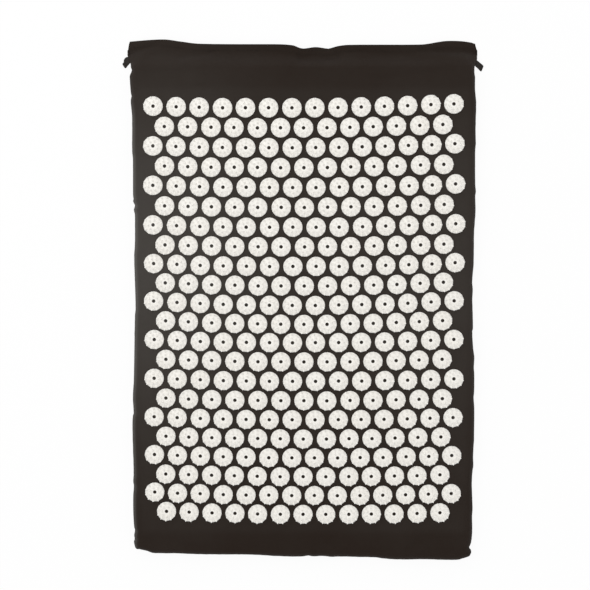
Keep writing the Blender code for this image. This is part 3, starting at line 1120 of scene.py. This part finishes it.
# How far the rows wander: (row, across), (row, along) and (row, wider to each end)
row_across = ((0, -0.0006), (2, 0.0), (5, 0.0006), (9, 0.0006), (10, 0.0002), (15, 0.0002), (17, -0.0005),
              (19, -0.0010), (21, -0.0008))
row_along = ((0, 0.0), (3, 0.0), (5, -0.0004), (10, -0.0006), (12, 0.0009), (13, 0.0012), (15, 0.0003),
             (21, -0.0001))
row_stretch = ((0, -0.0014), (1, -0.0006), (3, 0.0003), (6, 0.0007), (12, 0.0002), (15, 0.0006), (17, 0.0),
               (21, -0.0004))


def plastic_material():
    plastic, tree, shader = new_material("rosette_plastic", 0.42, 0.35)
    batch = texture_on(tree, "ShaderNodeTexNoise", "Object", 30)
    batch.inputs["Detail"].default_value = 2
    colour_between(tree, shader, batch.outputs["Fac"], (0.893, 0.864, 0.812), (0.930, 0.912, 0.872))
    grain = texture_on(tree, "ShaderNodeTexNoise", "Object", 1400)
    raise_surface(tree, shader, grain.outputs["Fac"], 0.12, 0.0001)
    return plastic


def make_rosette():
    """One rosette at the origin, its flat back at height 0."""
    segments = 2 * outer_spikes
    bpy.ops.mesh.primitive_cylinder_add(vertices=segments, radius=rosette_radius, depth=disc_thickness,
                                        location=(0, 0, disc_thickness / 2))
    disc = bpy.context.active_object
    bpy.ops.object.transform_apply(location=True, rotation=False, scale=False)
    bpy.ops.object.mode_set(mode="EDIT")
    bpy.ops.mesh.select_mode(type="FACE")
    bpy.ops.mesh.select_all(action="DESELECT")
    bpy.ops.object.mode_set(mode="OBJECT")
    for face in disc.data.polygons:
        face.select = abs(face.normal.z) > level_normal
    bpy.ops.object.mode_set(mode="EDIT")
    bpy.ops.mesh.inset(thickness=rosette_radius - hole_radius)
    bpy.ops.mesh.bridge_edge_loops()
    bpy.ops.object.mode_set(mode="OBJECT")
    rim = rosette_radius - rim_chamfer
    for vertex in disc.data.vertices:
        distance = math.hypot(vertex.co.x, vertex.co.y)
        if vertex.co.z > disc_thickness / 2 and distance > rim:
            vertex.co.x *= rim / distance
            vertex.co.y *= rim / distance
    parts = [disc]
    height = disc_thickness + spike_height / 2
    rings = ((outer_spikes, outer_spike_ring, 0.0, outer_spike_lean),
             (inner_spikes, inner_spike_ring, inner_spike_turn, 0.0))
    for count, ring, start, lean in rings:
        bpy.ops.mesh.primitive_cone_add(
            vertices=spike_sides, radius1=spike_radius, radius2=spike_tip_radius, depth=spike_height)
        spike = bpy.context.active_object
        for vertex in spike.data.vertices:
            if vertex.co.z > 0:
                vertex.co.x += lean
        placings = [Matrix.Rotation(math.tau * index / count + start, 4, "Z")
                    @ Matrix.Translation((ring, 0, height)) for index in range(count)]
        parts += copies_of(spike, placings)
    rosette = join_all(parts, "rosette_pattern")
    bpy.ops.object.shade_smooth_by_angle(angle=math.radians(75))
    return rosette


def make_rows():
    random.seed(11)
    pattern = make_rosette()
    plastic = plastic_material()
    row_nodes = sorted(name for name in frame["nodes"] if name.startswith("rosette_row_"))
    boxes = [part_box(name) for name in row_nodes]
    half_field = column_pitch * (round((boxes[0][1].x - boxes[0][0].x) / column_pitch) - 1) / 2
    row_pitch = (first_row - last_row) / (len(row_nodes) - 1)
    for index, name in enumerate(row_nodes):
        sag = rows_sag * math.sin(math.pi * index / (len(row_nodes) - 1))
        middle = first_row - row_pitch * index - sag
        low, high = boxes[index]
        count = round((high.x - low.x) / column_pitch)
        bow = row_bow + waist_bow * math.exp(-((middle / waist_bow_reach) ** 2))
        made = []
        for column in range(count):
            x = (column - (count - 1) / 2) * column_pitch
            share = x / half_field
            y = middle + bow * share**2 + (row_fan * middle / row_fan_reach + row_slant) * share
            x += field_aside + along_line(row_across, index) + along_line(row_stretch, index) * share
            y += along_line(row_along, index)
            x += random.uniform(-placing_error, placing_error)
            y += random.uniform(-placing_error, placing_error)
            turn = Matrix.Rotation(random.uniform(0, math.tau), 4, "Z")
            copy = bpy.data.objects.new(name, pattern.data.copy())
            copy.matrix_world = Matrix.Translation((x, y, panel_top + disc_rise)) @ turn
            bpy.context.collection.objects.link(copy)
            made.append(copy)
        row = join_all(made, f"{name}_rosettes")
        dress(row, plastic)
        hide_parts(name)
        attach(row, "cover")
    bpy.data.objects.remove(pattern)


make_rows()
